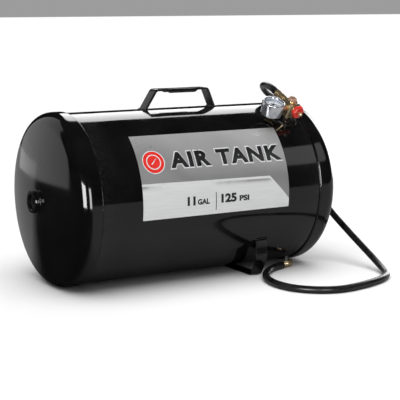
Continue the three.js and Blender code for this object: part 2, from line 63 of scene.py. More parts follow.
HOSE_ROUTE = [
    (191.4, -63.3, 342.7), (189.3, -53.3, 349), (191, -33, 354), (200, -4, 352), (215, 16, 344.5),
    (233, 32, 335), (254, 44, 324), (274, 52, 310), (288, 55, 288), (297, 51, 250), (304, 38, 214),
    (315, 14, 169), (326, -17, 129), (335, -55, 94), (341, -98, 65), (342, -144, 41), (338, -192, 21),
    (333, -216, 13.3), (325, -240, 8.3), (311, -262, 6.9), (290, -279, 6.9), (266, -291.5, 6.9),
    (215, -307, 6.9), (162, -310.5, 6.9), (125, -294, 6.9), (99, -263, 6.9), (90, -222.5, 6.9),
    (97, -181, 6.9), (116, -145, 6.9), (141, -118, 7), (165, -103, 7.3), (189, -93, 7.6),
]

# ---- frames ----


def turned(axis, degrees):
    return Matrix.Rotation(radians(degrees), 4, axis)


def shifted(x, y, z):
    return Matrix.Translation((x, y, z))


WORLD = Matrix.Identity(4)
TANK = shifted(0, 0, AXIS_HEIGHT)
LEFT = TANK @ turned("Y", -90)
RIGHT = TANK @ turned("Y", 90)
ON_SHELL = shifted(
    OUTLET["x"],
    -SHELL_RADIUS * math.sin(radians(OUTLET["angle"])),
    AXIS_HEIGHT + SHELL_RADIUS * math.cos(radians(OUTLET["angle"])),
) @ turned("X", OUTLET["angle"])
OUT = ON_SHELL @ turned("Z", OUTLET["turn"])
FRONT_PORT = OUT @ shifted(0, 0, LEVEL["valve"]) @ turned("X", 90)
BACK_PORT = OUT @ shifted(0, 0, LEVEL["valve"]) @ turned("X", -90)
RELIEF_PORT = OUT @ shifted(0, 0, LEVEL["relief"]) @ turned("Y", 90) @ turned("Z", 90)
FILL_PORT = OUT @ shifted(0, 0, LEVEL["fill"]) @ turned("Y", 90) @ turned("Z", 90)
GAUGE = OUT @ shifted(GAUGE_PLACE["offset"], 0, LEVEL["gauge"]) @ turned("X", GAUGE_PLACE["lean"])
CHUCK = shifted(*HOSE_ROUTE[-1]) @ turned("Z", CHUCK_TURN)
CHUCK_LINE = CHUCK @ turned("Y", 90)

# ---- camera ----

camera_data = bpy.data.cameras.new("camera")
camera_data.lens = 109.5
camera_data.sensor_width = 36
camera = bpy.data.objects.new("camera", camera_data)
camera.location = (-1.1402, -2.0130, 0.5221)
camera.rotation_euler = (radians(80.588), 0, radians(-30.737))
bpy.context.scene.collection.objects.link(camera)
bpy.context.scene.camera = camera

# ---- materials ----


class Recipe:
    """A Principled material, with helpers for its node tree."""

    def __init__(self, name, slot, constants):
        self.slot = slot
        self.material = bpy.data.materials.new(name)
        self.material.use_nodes = True
        self.tree = self.material.node_tree
        self.shader = self.tree.nodes["Principled BSDF"]
        self.object_coords = self.add("ShaderNodeTexCoord").outputs["Object"]
        for socket, value in constants.items():
            self.shader.inputs[socket].default_value = value

    def add(self, kind, inputs=None, **settings):
        node = self.tree.nodes.new(kind)
        for key, value in settings.items():
            setattr(node, key, value)
        for key, value in (inputs or {}).items():
            self.feed(node.inputs[key], value)
        return node

    def feed(self, socket, value):
        if isinstance(value, bpy.types.NodeSocket):
            self.tree.links.new(value, socket)
        else:
            socket.default_value = value

    def to_shader(self, **sockets):
        for key, value in sockets.items():
            self.feed(self.shader.inputs[key.replace("_", " ")], value)

    def noise(self, scale, detail=2.0, stretch=(1, 1, 1), distortion=0.0):
        mapping = self.add("ShaderNodeMapping", {"Vector": self.object_coords, "Scale": stretch})
        inputs = {"Vector": mapping.outputs[0], "Scale": scale, "Detail": detail, "Distortion": distortion}
        return self.add("ShaderNodeTexNoise", inputs).outputs["Fac"]

    def ramp(self, value, *stops):
        node = self.add("ShaderNodeValToRGB", {"Fac": value})
        elements = node.color_ramp.elements
        while len(elements) < len(stops):
            elements.new(0.5)
        for element, (position, color) in zip(elements, stops):
            element.position = position
            element.color = color if len(color) == 4 else (*color, 1)
        return node.outputs["Color"]

    def scaled(self, value, low, high, from_low=0.0, from_high=1.0):
        inputs = {"Value": value, "From Min": from_low, "From Max": from_high, "To Min": low, "To Max": high}
        return self.add("ShaderNodeMapRange", inputs).outputs["Result"]

    def math(self, operation, a, b=0.0):
        node = self.add("ShaderNodeMath", operation=operation)
        self.feed(node.inputs[0], a)
        self.feed(node.inputs[1], b)
        return node.outputs[0]

    def blend(self, factor, a, b):
        node = self.add("ShaderNodeMix", data_type="RGBA")
        self.feed(node.inputs["Factor"], factor)
        self.feed(node.inputs[6], a)
        self.feed(node.inputs[7], b)
        return node.outputs[2]

    def bump(self, height, distance, under=None):
        node = self.add("ShaderNodeBump", {"Height": height, "Distance": distance, "Strength": 1.0})
        if under is not None:
            self.feed(node.inputs["Normal"], under)
        return node.outputs["Normal"]


def grey(value):
    return (value, value, value, 1)


def black_paint():
    made = Recipe("gloss_black_paint", "black_paint", {"Specular IOR Level": 0.5})
    smudge = made.noise(14, 4, distortion=0.6)
    worn = made.add("ShaderNodeNewGeometry").outputs["Pointiness"]
    speck = made.noise(900, 2)
    chip = made.math("MULTIPLY", made.scaled(worn, 0, 1, 0.56, 0.66), made.scaled(speck, 0, 1, 0.52, 0.66))
    clean = made.ramp(smudge, (0.3, (0.0028, 0.0028, 0.003)), (0.75, (0.0065, 0.0065, 0.007)))
    made.to_shader(
        Base_Color=made.blend(chip, clean, (0.09, 0.085, 0.08, 1)),
        Roughness=made.math(
            "ADD", made.scaled(smudge, 0.055, 0.13, 0.3, 0.8), made.math("MULTIPLY", chip, 0.3),
        ),
    )
    rolled = made.bump(made.noise(7, 1), 0.0012)
    peel = made.bump(made.noise(330, 2), 0.000014, rolled)
    made.to_shader(Normal=peel)
    return made


def plug_steel():
    made = Recipe("dark_plug_steel", "plug_steel", {"Metallic": 0.7})
    grain = made.noise(500, 4)
    made.to_shader(
        Base_Color=made.ramp(grain, (0.3, (0.02, 0.02, 0.021)), (0.8, (0.06, 0.058, 0.055))),
        Roughness=made.scaled(grain, 0.35, 0.6),
        Normal=made.bump(grain, 0.00006),
    )
    return made


def metal(name, slot, dark, light, roughness, marks=0.00001, metallic=1.0):
    made = Recipe(name, slot, {"Metallic": metallic})
    cloud = made.noise(120, 5, distortion=0.5)
    turning = made.noise(2600, 2, stretch=(1, 1, 0.2))
    made.to_shader(
        Base_Color=made.ramp(cloud, (0.3, dark), (0.72, light)),
        Roughness=made.math(
            "ADD", made.scaled(cloud, roughness * 1.35, roughness * 0.75, 0.3, 0.8),
            made.scaled(turning, -0.02, 0.04),
        ),
        Normal=made.bump(turning, marks),
    )
    return made


def plastic(name, slot, dark, light, roughness, grain=0.00002):
    made = Recipe(name, slot, {"Specular IOR Level": 0.5})
    cloud = made.noise(60, 3)
    texture = made.noise(1500, 2)
    made.to_shader(
        Base_Color=made.ramp(cloud, (0.3, dark), (0.75, light)),
        Roughness=made.scaled(cloud, roughness * 0.8, roughness * 1.25, 0.3, 0.8),
        Normal=made.bump(texture, grain),
    )
    return made


def hose_rubber():
    made = Recipe("hose_rubber", "hose_rubber", {"Specular IOR Level": 0.5})
    cloth = made.noise(1400, 2)
    dust = made.noise(70, 5)
    made.to_shader(
        Base_Color=made.ramp(dust, (0.35, (0.004, 0.004, 0.0045)), (0.8, (0.014, 0.014, 0.014))),
        Roughness=made.scaled(dust, 0.24, 0.42, 0.3, 0.8),
        Normal=made.bump(cloth, 0.00005),
    )
    return made


def clear_lens():
    made = Recipe("gauge_window", "gauge_glass", {"Base Color": grey(1), "Metallic": 1.0})
    edge_on = made.add("ShaderNodeLayerWeight", {"Blend": 0.5}).outputs["Facing"]
    made.to_shader(
        Roughness=made.scaled(made.noise(90, 2), 0.01, 0.05),
        Alpha=made.scaled(made.math("POWER", edge_on, 4.0), 0.03, 0.8),
    )
    return made


def label_parts(made):
    """The label's own coordinates in millimetres: along the tank, and up round it from its lower edge."""
    uv = made.add("ShaderNodeTexCoord").outputs["UV"]
    split = made.add("ShaderNodeSeparateXYZ", {"Vector": uv})
    return made.math("MULTIPLY", split.outputs["X"], 100), made.math("MULTIPLY", split.outputs["Y"], 100)


def label_mesh_print():
    made = Recipe("label_mesh_print", "label_film", {"Specular IOR Level": 0.5, "Metallic": 0.1})
    along, up = label_parts(made)
    pitch = 2 * math.pi / 3.2
    rising = made.math("SINE", made.math("MULTIPLY", made.math("ADD", along, up), pitch))
    falling = made.math("SINE", made.math("MULTIPLY", made.math("SUBTRACT", along, up), pitch))
    dots = made.scaled(made.math("MULTIPLY", rising, falling), 0, 1, -0.15, 0.35)
    sweep = made.math("ADD", made.math("MULTIPLY", along, 0.0011), made.math("MULTIPLY", up, 0.0052))
    shade = made.math("ADD", sweep, made.scaled(made.noise(9, 1), -0.12, 0.12, 0.3, 0.7))
    light = made.ramp(shade, (0.05, grey(0.34)), (0.38, grey(0.25)), (0.62, grey(0.33)), (0.85, grey(0.42)))
    dark = made.blend(0.6, light, grey(0.10))
    made.to_shader(
        Base_Color=made.blend(made.math("MULTIPLY", dots, 0.75), light, dark),
        Roughness=made.scaled(made.noise(40, 3), 0.24, 0.36),
        Normal=made.bump(dots, 0.00001),
    )
    return made


def label_panel_print():
    made = Recipe("label_panel_print", "label_film", {"Specular IOR Level": 0.5, "Metallic": 0.15})
    along, up = label_parts(made)
    top_line = made.math("SUBTRACT", 62.8, made.math("MULTIPLY", along, 0.015))
    below = made.math("SUBTRACT", top_line, up)
    streak = made.noise(16, 2, stretch=(1, 0.1, 0.1))
    edge = made.ramp(
        made.scaled(below, 0, 1, 0, 14),
        (0.0, grey(0.72)), (0.24, grey(0.70)), (0.4, grey(0.3)), (0.8, grey(0.6)), (1.0, grey(0.62)),
    )
    brushed = made.noise(300, 4, stretch=(0.05, 1, 1))
    face = made.ramp(brushed, (0.2, (0.66, 0.67, 0.67)), (0.8, (0.76, 0.765, 0.76)))
    bright_edge = made.scaled(streak, 0, 1, 0.45, 0.62)
    near_edge = made.math("MULTIPLY", bright_edge, made.scaled(below, 1, 0, 8, 15))
    made.to_shader(
        Base_Color=made.blend(near_edge, face, edge),
        Roughness=made.scaled(brushed, 0.3, 0.42),
    )
    return made


def studio_floor():
    made = Recipe("studio_floor", None, {"Specular IOR Level": 0.2})
    tone = made.noise(3, 2)
    made.to_shader(
        Base_Color=made.ramp(tone, (0.2, grey(0.84)), (0.8, grey(0.86))),
        Roughness=made.scaled(tone, 0.7, 0.8),
    )
    return made


PAINT = black_paint()
PLUG = plug_steel()
BRASS = metal("satin_brass", "brass", (0.52, 0.38, 0.20), (0.88, 0.73, 0.49), 0.2, metallic=0.9)
COPPERY = metal("coppery_brass", "coppery_brass", (0.60, 0.36, 0.25), (0.86, 0.60, 0.46), 0.32, metallic=0.75)
CHROME = metal(
    "polished_chrome", "gauge_chrome", (0.66, 0.68, 0.72), (0.80, 0.82, 0.86), 0.13, 0.000002, metallic=0.85,
)
SPRING = metal("spring_wire", "spring_steel", (0.34, 0.34, 0.35), (0.55, 0.55, 0.56), 0.25)
RED = plastic("red_knob_plastic", "red_plastic", (0.62, 0.022, 0.012), (0.80, 0.05, 0.03), 0.3)
WHITE = plastic("dial_white", "dial_white", (0.72, 0.77, 0.84), (0.80, 0.84, 0.90), 0.45)
INK = plastic("printed_black", "pointer_black", (0.006, 0.006, 0.007), (0.012, 0.012, 0.013), 0.4)
LABEL_INK = plastic("label_black_ink", "label_film", (0.006, 0.006, 0.007), (0.012, 0.012, 0.013), 0.32)
LABEL_RED = plastic("label_red_ink", "label_film", (0.66, 0.018, 0.012), (0.78, 0.03, 0.02), 0.3)
LABEL_WHITE = plastic("label_pale_ink", "label_film", (0.62, 0.63, 0.64), (0.70, 0.71, 0.72), 0.32)
CAP = plastic("cap_plastic", "black_plastic", (0.010, 0.010, 0.011), (0.020, 0.020, 0.021), 0.45, 0.00005)
SEAL = plastic("seal_rubber", "seal_rubber", (0.008, 0.008, 0.008), (0.018, 0.018, 0.018), 0.6, 0.00008)
RUBBER = hose_rubber()
LENS = clear_lens()
MESH_PRINT = label_mesh_print()
PANEL_PRINT = label_panel_print()

# ---- mesh helpers: each shape is (vertices, faces) ----


def loft(rings, closed=False, capped=True):
    """Skins a list of rings that all have the same number of points."""
    count = len(rings[0])
    vertices = [Vector(p) for ring in rings for p in ring]
    faces = []
    steps = len(rings) if closed else len(rings) - 1
    for i in range(steps):
        a, b = i * count, ((i + 1) % len(rings)) * count
        for k in range(count):
            n = (k + 1) % count
            faces.append((a + k, a + n, b + n, b + k))
    if capped and not closed:
        faces.append(tuple(range(count))[::-1])
        faces.append(tuple((len(rings) - 1) * count + k for k in range(count)))
    return vertices, faces


def circle(radius, z, turns):
    steps = (2 * math.pi * k / turns for k in range(turns))
    return [(radius * math.cos(a), radius * math.sin(a), z) for a in steps]


def lathe(profile, turns=72):
    """A closed profile of (radius, height) points turned about Z."""
    return loft([circle(radius, z, turns) for radius, z in profile], closed=True)


def rod(radius, low, high, turns=48):
    return lathe([(0, low), (radius, low), (radius, high), (0, high)], turns)


def polygon(outline, low, high):
    return loft([[(x, y, low) for x, y in outline], [(x, y, high) for x, y in outline]])


def hexagon_ring(half, z, turns=72):
    """A hexagon as a ring of points, for a socket. half is half the distance across its flats."""
    ring = []
    for k in range(turns):
        angle = 2 * math.pi * k / turns
        reach = half / math.cos((angle % (math.pi / 3)) - math.pi / 6)
        ring.append((reach * math.cos(angle), reach * math.sin(angle), z))
    return ring


def nut(across, low, high, bore=0.0, chamfer_top=True, chamfer_bottom=False):
    """A hexagon nut with turned chamfers on its corners."""
    turns = 72
    flat_circle = across / 2
    rings = {"bottom": [], "top": []}
    for k in range(turns):
        angle = 2 * math.pi * k / turns
        from_corner = (angle + math.pi / 6) % (math.pi / 3) - math.pi / 6
        reach = flat_circle / math.cos(math.pi / 6 - abs(from_corner))
        drop = (reach - flat_circle) * math.tan(radians(30))
        x, y = reach * math.cos(angle), reach * math.sin(angle)
        rings["top"].append((x, y, high - drop * chamfer_top))
        rings["bottom"].append((x, y, low + drop * chamfer_bottom))
    inset = flat_circle * 0.98
    return loft(
        [circle(bore, low, turns), circle(inset, low, turns), rings["bottom"], rings["top"],
         circle(inset, high, turns), circle(bore, high, turns)],
        closed=True,
    )


def tube(points, radius, sides=12, closed=False, ripple=0.0, pitch=1.6):
    """A round tube along points. A ripple makes it look like the scales of a weld bead."""
    points = [Vector(p) for p in points]
    count = len(points)
    side = None
    rings = []
    travelled = 0.0
    for i, point in enumerate(points):
        ahead = points[(i + 1) % count] if closed or i < count - 1 else point
        behind = points[i - 1] if closed or i > 0 else point
        tangent = (ahead - behind).normalized()
        if side is None:
            side = tangent.orthogonal().normalized()
        side = (side - tangent * side.dot(tangent)).normalized()
        other = tangent.cross(side)
        reach = radius * (1 + ripple * math.sin(2 * math.pi * travelled / pitch))
        angles = (2 * math.pi * k / sides for k in range(sides))
        rings.append([point + (side * math.cos(a) + other * math.sin(a)) * reach for a in angles])
        travelled += (ahead - point).length
    return loft(rings, closed=closed)


def torus(ring, wire, turns=72, sides=14):
    """A ring in the XY plane. Its shape doesn't need the tube's changing frame."""
    profile = [
        (ring + wire * math.cos(2 * math.pi * k / sides), wire * math.sin(2 * math.pi * k / sides))
        for k in range(sides)
    ]
    return lathe(profile, turns)


def arc(centre, radius, start, end, steps):
    angles = (radians(start + (end - start) * i / steps) for i in range(steps + 1))
    return [(centre[0] + radius * math.cos(a), centre[1] + radius * math.sin(a)) for a in angles]


def moved(shape, matrix):
    return [matrix @ v for v in shape[0]], shape[1]


def piece(name, shapes, where, recipe, body="receiver", replaces=(), bevel=0.0, sharp=32):
    """One object made of several shapes, riding on a CAD body."""
    mesh = bpy.data.meshes.new(name)
    vertices, faces = [], []
    for points, polygons in shapes:
        seen = {}
        index = []
        for point in points:
            key = tuple(round(c, 5) for c in point)
            if key not in seen:
                seen[key] = len(vertices)
                vertices.append((where @ Vector(point)) * MM)
            index.append(seen[key])
        for polygon_ in polygons:
            loop = [index[i] for i in polygon_]
            loop = [v for i, v in enumerate(loop) if v != loop[i - 1]]
            if len(set(loop)) == len(loop) and len(loop) > 2:
                faces.append(loop)
    mesh.from_pydata(vertices, [], faces)
    bm = bmesh.new()
    bm.from_mesh(mesh)
    bmesh.ops.recalc_face_normals(bm, faces=bm.faces)
    bm.to_mesh(mesh)
    bm.free()
    mesh.shade_smooth()
    mesh.set_sharp_from_angle(angle=radians(sharp))
    made = bpy.data.objects.new(name, mesh)
    bpy.context.scene.collection.objects.link(made)
    mesh.materials.append(recipe.material)
    if bevel:
        rounding = made.modifiers.new("rounded_edges", "BEVEL")
        rounding.width = bevel * MM
        rounding.segments = 3
        rounding.limit_method = "ANGLE"
        rounding.angle_limit = radians(sharp)
        rounding.harden_normals = True
    return settle(made, body, replaces)


def settle(made, body, replaces=()):
    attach(made, body)
    if replaces:
        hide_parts(*replaces)
    return made


# ---- hose: the cord comes first ----


def smooth_route(points, steps):
    """The centripetal Catmull-Rom curve through points."""
    points = [Vector(p) for p in points]
    ends = [2 * points[0] - points[1], *points, 2 * points[-1] - points[-2]]
    result = []
    for i in range(1, len(ends) - 2):
        p0, p1, p2, p3 = ends[i - 1:i + 3]
        t0 = 0.0
        t1 = t0 + math.sqrt((p1 - p0).length)
        t2 = t1 + math.sqrt((p2 - p1).length)
        t3 = t2 + math.sqrt((p3 - p2).length)
        for k in range(steps):
            t = t1 + (t2 - t1) * k / steps
            a1 = p0 * ((t1 - t) / (t1 - t0)) + p1 * ((t - t0) / (t1 - t0))
            a2 = p1 * ((t2 - t) / (t2 - t1)) + p2 * ((t - t1) / (t2 - t1))
            a3 = p2 * ((t3 - t) / (t3 - t2)) + p3 * ((t - t2) / (t3 - t2))
            b1 = a1 * ((t2 - t) / (t2 - t0)) + a2 * ((t - t0) / (t2 - t0))
            b2 = a2 * ((t3 - t) / (t3 - t1)) + a3 * ((t - t1) / (t3 - t1))
            result.append(b1 * ((t2 - t) / (t2 - t1)) + b2 * ((t - t1) / (t2 - t1)))
    result.append(points[-1])
    return result


def ferrule(low, high, ridges, groove, radius=7.4, inner=3.6):
    """A crimped sleeve with rounded ridges."""
    pitch = (high - low) / (ridges + 0.3)
    profile = [(inner, low), (radius - 0.5, low), (radius, low + 0.5)]
    for i in range(ridges):
        start = low + pitch * (i + 0.45)
        profile += [(radius, start), (radius - 0.25, start + pitch * 0.06), (groove, start + pitch * 0.2)]
        profile += [(groove, start + pitch * 0.42), (radius - 0.25, start + pitch * 0.56)]
        profile.append((radius, start + pitch * 0.62))
    profile += [(radius, high - 0.5), (radius - 0.5, high), (inner, high)]
    return lathe(profile, 56)


def make_hose():
    line = bpy.data.curves.new("air_hose_line", "CURVE")
    line.dimensions = "3D"
    points = smooth_route(HOSE_ROUTE, 8)
    spline = line.splines.new("POLY")
    spline.points.add(len(points) - 1)
    for target, point in zip(spline.points, points):
        target.co = (*(point * MM), 1)
    line.bevel_depth = HOSE_RADIUS * MM
    line.bevel_resolution = 6
    line.use_fill_caps = True
    line.materials.append(RUBBER.material)
    hose = bpy.data.objects.new("hose_tube", line)
    bpy.context.scene.collection.objects.link(hose)
    return settle(hose, "receiver", ["air_hose"])


def make_hose_ends():
    inlet = piece(
        "crimped_inlet_ferrule", [ferrule(15, 43.2, 6, groove=6.0)], BACK_PORT, BRASS,
        replaces=["hose_inlet_ferrule"],
    )
    end = piece(
        "crimped_end_ferrule", [ferrule(0.3, 9.3, 2, groove=6.1)], CHUCK_LINE, BRASS,
        replaces=["hose_end_ferrule"],
    )
    body = [
        lathe([(3, 9.6), (6.1, 9.6), (6.6, 10.1), (6.6, 12), (6.6, 19.4), (6.1, 20), (3, 20)]),
        moved(
            lathe([(3.4, 0), (5.5, 0), (5.5, 5.9), (5.1, 6.3), (3.4, 6.3)]),
            turned("Y", -90) @ shifted(14.8, 0, 0),
        ),
    ]
    chuck_body = piece("chuck_tee", body, CHUCK_LINE, BRASS, replaces=["chuck_body"])
    plug = piece(
        "chuck_hex_plug",
        [moved(nut(14, 20.3, 26.2), turned("Z", 30)), lathe([(0, 26), (4, 26), (3.6, 26.5), (0, 26.5)])],
        CHUCK_LINE, BRASS, replaces=["chuck_end_plug"],
    )
    at_head = CHUCK @ shifted(14.8, 0, 0)
    seal = piece(
        "chuck_rubber_mouth",
        [lathe([(2.6, 6.6), (4.9, 6.6), (5.2, 7), (5.2, 8.8), (4.9, 9.4), (4.7, 12), (4.6, 14.9), (4.1, 15.5),
                (3.1, 15.5), (2.6, 14.9)])],
        at_head, SEAL, replaces=["chuck_seal"],
    )
    pin = piece(
        "chuck_core_pin",
        [lathe([(0, 0.5), (2.9, 0.5), (2.9, 2), (1.1, 2), (1.1, 13.4), (0.6, 14), (0, 14)], 32)],
        at_head, BRASS, body="chuck_core", replaces=["chuck_pin"],
    )
    return [inlet, end, chuck_body, plug, seal, pin]


hose = make_hose()
hose_fittings = make_hose_ends()

# ---- tank ----


def head_profile():
    ring = HEAD["radius"] - HEAD["knuckle"]
    dish = HEAD["depth"] - HEAD["skirt"]
    crown = (ring ** 2 + dish ** 2 - HEAD["knuckle"] ** 2) / (2 * (dish - HEAD["knuckle"]))
    ring_height = HEAD["edge"] + HEAD["skirt"]
    crown_height = ring_height + dish - crown
    meet = math.degrees(math.atan2(ring_height - crown_height, ring))

    def curve(inset, fine):
        hole = math.degrees(math.acos(HEAD["hole"] / (crown - inset)))
        return [
            *arc((ring, ring_height), HEAD["knuckle"] - inset, 0, meet, fine),
            *arc((0, crown_height), crown - inset, meet, hole, fine + 4)[1:],
        ]

    outer = [(HEAD["radius"] - 0.6, HEAD["edge"]), (HEAD["radius"], HEAD["edge"] + 0.6), *curve(0, 14)]
    inner = [(HEAD["radius"] - HEAD["wall"], HEAD["edge"]), *curve(HEAD["wall"], 5)]
    return outer + inner[::-1]


def weld_ring(radius, height, bead, turns=480, ripple=0.1):
    """A welded seam turned about Z."""
    points = circle(radius, height, turns)
    return tube(points, bead, 10, closed=True, ripple=ripple, pitch=2 * math.pi * radius / (turns / 4))


def make_tank():
    outside = [(SHELL_RADIUS, x) for x in (-SHELL_HALF, -120, 0, 120, SHELL_HALF)]
    shell = [(SHELL_RADIUS - 2, -SHELL_HALF), *outside, (SHELL_RADIUS - 2, SHELL_HALF)]
    piece("rolled_shell", [lathe(shell, 256)], RIGHT, PAINT, replaces=["tank_shell"])
    for side, at in (("left", LEFT), ("right", RIGHT)):
        piece(f"{side}_dished_head", [lathe(head_profile(), 256)], at, PAINT, replaces=[f"{side}_head"])
        piece(f"{side}_seam_weld", [weld_ring(157.9, HEAD["edge"] - 0.6, 1.5)], at, PAINT, sharp=80)
        ring = [(14, HEAD_APEX - 8), (17.4, HEAD_APEX - 8), (17.4, HEAD_APEX + 0.3), (21, HEAD_APEX + 0.3),
                (21, BUNG_FACE - 1.4), (20.6, BUNG_FACE - 0.6), (19.8, BUNG_FACE), (15.2, BUNG_FACE),
                (14.2, BUNG_FACE - 1)]
        piece(f"{side}_port_ring", [lathe(ring, 96)], at, PAINT, replaces=[f"{side}_port_bung"])
        piece(
            f"{side}_port_weld", [weld_ring(21.1, HEAD_APEX - 0.4, 1.7, 176, 0.1)], at, PAINT, sharp=80,
        )
        top = BUNG_FACE - 5
        plug = loft([
            circle(0, top - 7, 72), hexagon_ring(6, top - 7), hexagon_ring(6, top - 0.4),
            circle(7.6, top, 72), circle(12.9, top, 72), circle(13.7, top - 0.8, 72),
            circle(13.7, top - 9, 72),
            circle(12.7, top - 10, 72), circle(0, top - 10, 72),
        ], capped=False)
        piece(f"{side}_hex_plug", [plug], at, PLUG, replaces=[f"{side}_port_plug"])
    seam = [(x, 0, SHELL_RADIUS + 0.1) for x in range(-226, 227, 1)]
    piece(
        "shell_long_seam", [tube(seam, 1.4, 8, ripple=0.1, pitch=4)],
        TANK @ turned("X", -118), PAINT, sharp=80,
    )


# ---- label ----


def on_tank(x, up, lift):
    """A point of the label: x along the tank, up round it from the label's lower edge, in millimetres."""
    radius = LABEL_RADIUS + lift
    angle = radians(LABEL["low"]) + up / LABEL_RADIUS
    return Vector((x, -radius * math.cos(angle), AXIS_HEIGHT + radius * math.sin(angle)))


LABEL_HEIGHT = radians(LABEL["high"] - LABEL["low"]) * LABEL_RADIUS


def print_on_tank(name, flat, lift, recipe, replaces=()):
    """Lays a flat bmesh, drawn in label millimetres, on the tank's curve."""
    low = min(v.co.y for v in flat.verts)
    high = max(v.co.y for v in flat.verts)
    cuts = int((high - low) / 3)
    for i in range(1, cuts + 1):
        at = low + (high - low) * i / (cuts + 1)
        everything = flat.verts[:] + flat.edges[:] + flat.faces[:]
        bmesh.ops.bisect_plane(flat, geom=everything, plane_co=(0, at, 0), plane_no=(0, 1, 0))
    layer = flat.loops.layers.uv.new("label")
    for face in flat.faces:
        for corner in face.loops:
            corner[layer].uv = (corner.vert.co.x / 100, corner.vert.co.y / 100)
    for vertex in flat.verts:
        vertex.co = on_tank(vertex.co.x, vertex.co.y, lift) * MM
    bmesh.ops.recalc_face_normals(flat, faces=flat.faces)
    outward = sum((f.normal.dot(Vector((0, -1, 0))) for f in flat.faces), 0.0)
    if outward < 0:
        bmesh.ops.reverse_faces(flat, faces=flat.faces)
    mesh = bpy.data.meshes.new(name)
    flat.to_mesh(mesh)
    flat.free()
    mesh.shade_smooth()
    mesh.materials.append(recipe.material)
    made = bpy.data.objects.new(name, mesh)
    bpy.context.scene.collection.objects.link(made)
    return settle(made, "receiver", replaces)


def flat_shape(outline):
    flat = bmesh.new()
    flat.faces.new([flat.verts.new((x, y, 0)) for x, y in outline])
    return flat


def flat_ring(cx, cy, outer, inner, turns=72):
    flat = bmesh.new()
    unit = circle(1, 0, turns)
    rims = [[flat.verts.new((cx + r * x, cy + r * y, 0)) for x, y, _ in unit] for r in (outer, inner)]
    for k in range(turns):
        n = (k + 1) % turns
        flat.faces.new((rims[0][k], rims[0][n], rims[1][n], rims[1][k]))
    return flat


def lettering(words, weight, fine, spacing=1.0, centred=False):
    """Words as a flat mesh, about one unit tall."""
    curve = bpy.data.curves.new("lettering", "FONT")
    curve.body = words
    curve.offset = weight
    curve.space_character = spacing
    curve.resolution_u = fine
    if centred:
        curve.align_x = "CENTER"
        curve.align_y = "CENTER"
    helper = bpy.data.objects.new("lettering", curve)
    bpy.context.scene.collection.objects.link(helper)
    bpy.context.view_layer.update()
    mesh = bpy.data.meshes.new_from_object(helper)
    bpy.data.objects.remove(helper)
    bpy.data.curves.remove(curve)
    return mesh


def flat_text(words, x0, x1, y0, y1, weight, spacing=1.0):
    """Generic words as a flat bmesh that fills a box in label millimetres."""
    mesh = lettering(words, weight, 4, spacing)
    flat = bmesh.new()
    flat.from_mesh(mesh)
    bpy.data.meshes.remove(mesh)
    bmesh.ops.remove_doubles(flat, verts=flat.verts, dist=1e-5)
    lows = [min(v.co[i] for v in flat.verts) for i in (0, 1)]
    highs = [max(v.co[i] for v in flat.verts) for i in (0, 1)]
    for vertex in flat.verts:
        vertex.co.x = x0 + (vertex.co.x - lows[0]) / (highs[0] - lows[0]) * (x1 - x0)
        vertex.co.y = y0 + (vertex.co.y - lows[1]) / (highs[1] - lows[1]) * (y1 - y0)
    return flat


def make_label():
    left, right, top = LABEL["from_x"], LABEL["to_x"], LABEL_HEIGHT
    print_on_tank(
        "label_film", flat_shape([(left, 0), (right, 0), (right, top), (left, top)]), 0.0, MESH_PRINT,
        ["front_label"],
    )
    panel = [(left, 0), (right, 0), (right, 16), (117, 61), (left, 65)]
    print_on_tank("label_panel", flat_shape(panel), 0.05, PANEL_PRINT)
    rim = [(left, 65), (117, 61), (right, 16), (right, 12.6), (115.6, 58.6), (left, 62.8)]
    print_on_tank("label_panel_rim", flat_shape(rim), 0.09, LABEL_WHITE)
    for name, box, weight, lift, ink in (
        ("label_title_outline", (-90, 153.5, 87.5, 122.5), 0.075, 0.06, LABEL_WHITE),
        ("label_title", (-87.8, 151.3, 89.7, 120.3), 0.05, 0.12, LABEL_INK),
    ):
        print_on_tank(name, flat_text("AIR TANK", *box, weight, 1.16), lift, ink)
    for name, words, box in (
        ("label_volume", "11", (-62.5, -46, 19.4, 35.8)),
        ("label_volume_unit", "GAL", (-41.5, -16, 19.8, 30.2)),
        ("label_pressure", "125", (8.5, 41.5, 19.2, 35.8)),
        ("label_pressure_unit", "PSI", (47.5, 68.8, 19.6, 30.2)),
    ):
        print_on_tank(name, flat_text(words, *box, 0.05), 0.12, LABEL_INK)
    divider = [(-3.1, 7.2), (-1.5, 7.2), (-1.5, 40.4), (-3.1, 40.4)]
    print_on_tank("label_divider", flat_shape(divider), 0.12, LABEL_INK)
    cx, cy = -120.5, 104
    disc = [(cx + 21 * x, cy + 21 * y) for x, y, _ in circle(1, 0, 72)]
    print_on_tank("label_badge", flat_shape(disc), 0.08, LABEL_RED)
    print_on_tank("label_badge_ring", flat_ring(cx, cy, 22.3, 20.6), 0.10, LABEL_WHITE)
    print_on_tank("label_badge_inner_ring", flat_ring(cx, cy, 14.5, 12.6), 0.12, LABEL_WHITE)
    needle = [(cx - 5.5, cy - 3.6), (cx - 3.6, cy - 5.5), (cx + 8.6, cy + 8.6)]
    print_on_tank("label_badge_needle", flat_shape(needle), 0.13, LABEL_WHITE)


# ---- handle and foot ----


def bent_line(corners, bend, fine=7):
    """A line of corners with each one rounded, as points with their normals."""
    corners = [Vector(c) for c in corners]
    result = []
    for i, corner in enumerate(corners):
        if i in (0, len(corners) - 1):
            result.append(corner)
            continue
        before = (corner - corners[i - 1]).normalized()
        after = (corners[i + 1] - corner).normalized()
        turn = math.atan2(before.x * after.y - before.y * after.x, before.dot(after))
        start = corner - before * bend * math.tan(abs(turn) / 2)
        side = Vector((-before.y, before.x)) * math.copysign(bend, turn)
        centre = start + side
        steps = max(3, int(abs(turn) / radians(fine)))
        for k in range(steps + 1):
            result.append(centre + Matrix.Rotation(turn * k / steps, 2) @ -side)
    return result


